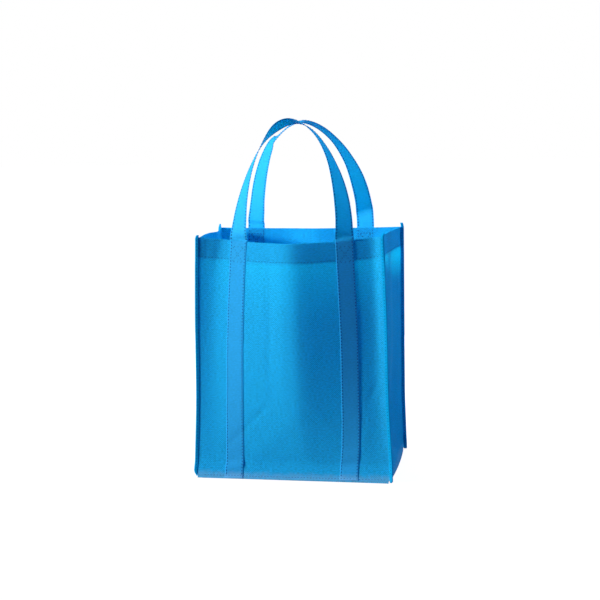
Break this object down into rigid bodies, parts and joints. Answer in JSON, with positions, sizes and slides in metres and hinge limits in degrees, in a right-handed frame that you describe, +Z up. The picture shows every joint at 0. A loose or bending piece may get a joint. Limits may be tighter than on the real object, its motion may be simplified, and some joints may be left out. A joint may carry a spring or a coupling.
{
  "type": "non-woven shopping bag",
  "caption": "Open-topped shopping bag sewn from blue non-woven cloth, with gusseted sides, bound corner seams and long strap handles.",
  "frame": {"origin": "middle of the bag's foot, on the floor", "axes": "+Z up, the front panel faces -Y, +X to the right as seen from the front"},
  "size_m": [0.3321, 0.2267, 0.5835],
  "materials": {
    "body_cloth": "matt, dotted by its bonding",
    "strap_cloth": "matt, folded in layers",
    "binding_cloth": "matt"
  },
  "bodies": {
    "root": {"front_panel": "body_cloth", "back_panel": "body_cloth", "left_gusset": "body_cloth", "right_gusset": "body_cloth", "bottom_panel": "body_cloth", "front_handle": "strap_cloth", "back_handle": "strap_cloth", "front_left_binding": "binding_cloth", "front_right_binding": "binding_cloth", "back_left_binding": "binding_cloth", "back_right_binding": "binding_cloth"}
  },
  "joints": []
}
